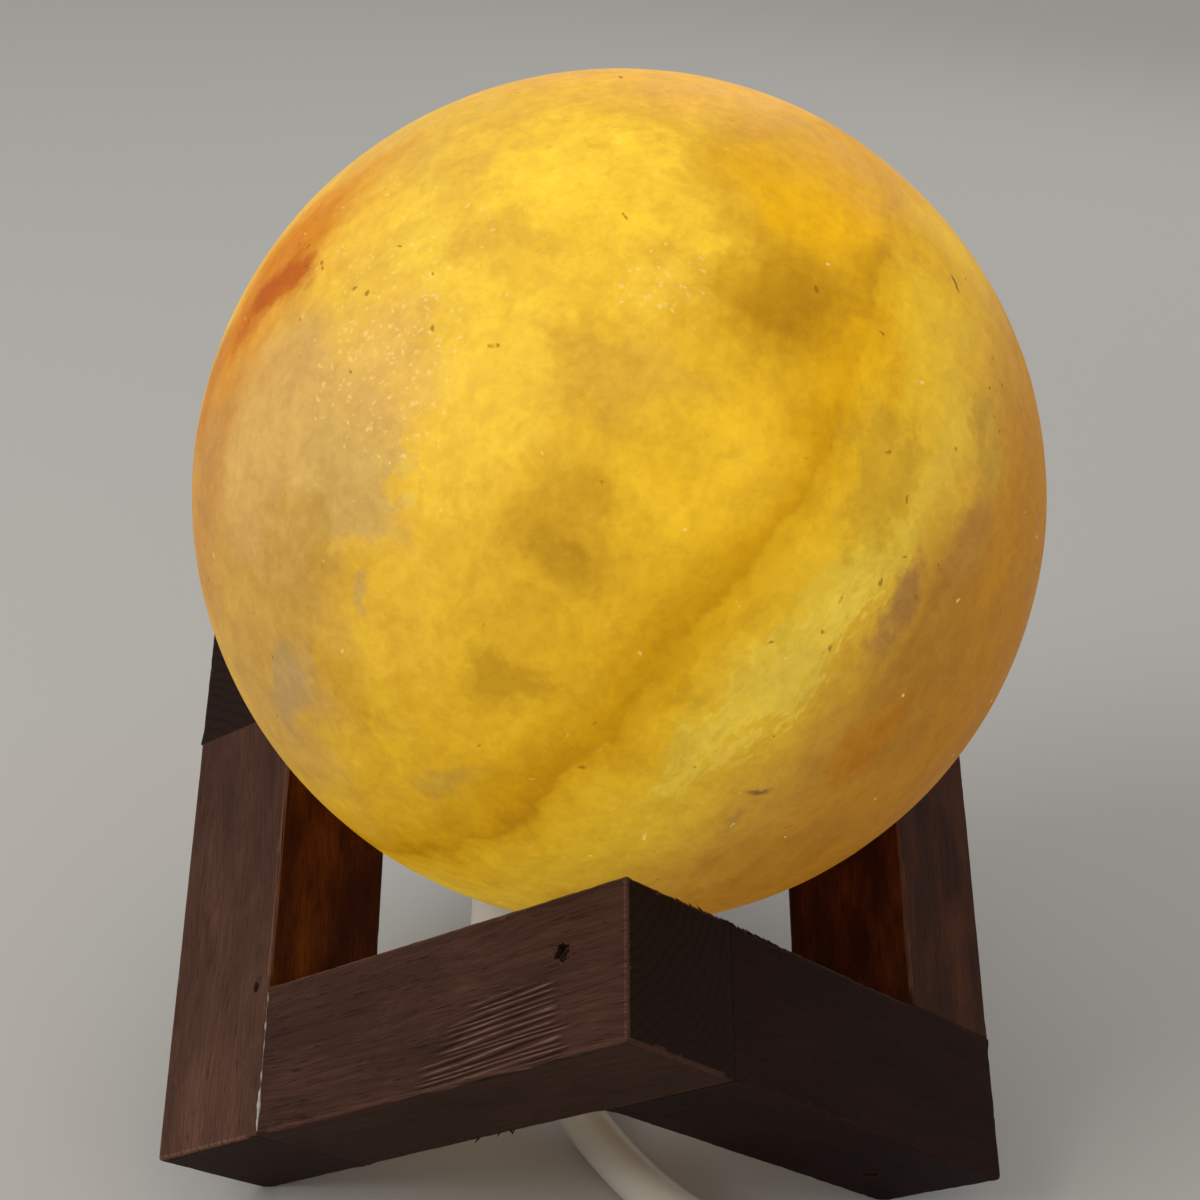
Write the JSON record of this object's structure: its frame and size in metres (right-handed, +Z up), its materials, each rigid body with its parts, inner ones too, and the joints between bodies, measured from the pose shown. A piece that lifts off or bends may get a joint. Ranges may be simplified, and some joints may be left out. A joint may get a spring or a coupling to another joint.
{
  "type": "salt lamp",
  "caption": "Carved rock-salt globe that glows in a zigzag stand of square wooden sticks, lit by a small bulb on a holder clipped in its bore, with mains lead, inline switch and plug.",
  "frame": {"origin": "on the table, under the centre of the stand and of the globe", "axes": "+Z up; -Y towards the viewer of the picture, where two rails meet at an upper corner and the lead leaves; +X to the right"},
  "size_m": [0.1389, 0.2465, 0.1621],
  "materials": {
    "stained_pine": "dark stained, open grain, satin",
    "nail_steel": "blackened",
    "rock_salt": "carved and rubbed smooth, translucent, cloudy",
    "holder_plastic": "moulded, semi-gloss",
    "zinc_plated_steel": "zinc plated",
    "spring_steel": "stamped, plated",
    "ceramic_core": "glazed white",
    "socket_brass": "stamped",
    "boot_plastic": "moulded, soft",
    "core_insulation": "extruded",
    "bulb_glass": "clear, blown",
    "bulb_cap_nickel": "rolled nickel",
    "black_glass": "black glass, glossy",
    "solder": "solder bead",
    "support_wire": "drawn wire",
    "tungsten": "glowing wire",
    "lead_plastic": "extruded white, soft gloss",
    "tie_plastic": "moulded",
    "switch_plastic": "moulded white",
    "rocker_plastic": "moulded white",
    "plug_plastic": "moulded white",
    "pin_nickel": "nickel plated",
    "sleeve_plastic": "moulded"
  },
  "bodies": {
    "root": {"front_left_rail": "stained_pine", "left_post": "stained_pine", "rear_left_rail": "stained_pine", "rear_right_rail": "stained_pine", "right_post": "stained_pine", "front_right_rail": "stained_pine", "joint_nails": "nail_steel", "cord_lead": "lead_plastic", "cord_tail": "lead_plastic", "cord_coil": "lead_plastic", "coil_tie": "tie_plastic", "cord_end": "lead_plastic", "switch_base": "switch_plastic", "switch_cover": "switch_plastic", "switch_contacts": "socket_brass", "switch_screws": "zinc_plated_steel", "plug_body": "plug_plastic", "plug_boot": "boot_plastic", "plug_pins": "pin_nickel", "pin_sleeves": "sleeve_plastic"},
    "holder": {"holder_cap": "holder_plastic", "cap_screws": "zinc_plated_steel", "spring_clip": "spring_steel", "holder_sleeve": "holder_plastic", "holder_core": "ceramic_core", "screw_socket": "socket_brass", "centre_contact": "socket_brass", "terminal_blocks": "socket_brass", "terminal_screws": "zinc_plated_steel", "cord_boot": "boot_plastic", "lead_cores": "core_insulation"},
    "globe": {"salt_globe": "rock_salt"},
    "bulb_bead": {"bulb_tip": "solder"},
    "bulb": {"bulb_glass": "bulb_glass", "bulb_screw_cap": "bulb_cap_nickel", "bulb_insulator": "black_glass", "bulb_stem": "bulb_glass", "bulb_supports": "support_wire", "bulb_filament": "tungsten"},
    "rocker": {"switch_rocker": "rocker_plastic"}
  },
  "joints": [
    {"name": "lamp_lift", "type": "slide", "parent": "root", "child": "holder", "axis": [0, 0, 1], "range_m": [0, 0.05]},
    {"name": "globe_pull", "type": "slide", "parent": "holder", "child": "globe", "axis": [0, 0, 1], "range_m": [0, 0.07]},
    {"name": "bulb_rise", "type": "slide", "parent": "holder", "child": "bulb_bead", "axis": [0, 0, 1], "range_m": [0, 0.0127]},
    {"name": "bulb_turn", "type": "hinge", "parent": "bulb_bead", "child": "bulb", "pos_m": [0, 0, 0.06], "axis": [0, 0, 1], "range_deg": [0, 1620]},
    {"name": "switch_rocker", "type": "hinge", "parent": "root", "child": "rocker", "pos_m": [0.04037, -0.07916, 0.0112], "axis": [0.8472, 0.5313, 0], "range_deg": [0, 16]}
  ],
  "couplings": [
    {"joint": "bulb_rise", "follows": "bulb_turn", "m_per_rad": 0.00044881}
  ]
}
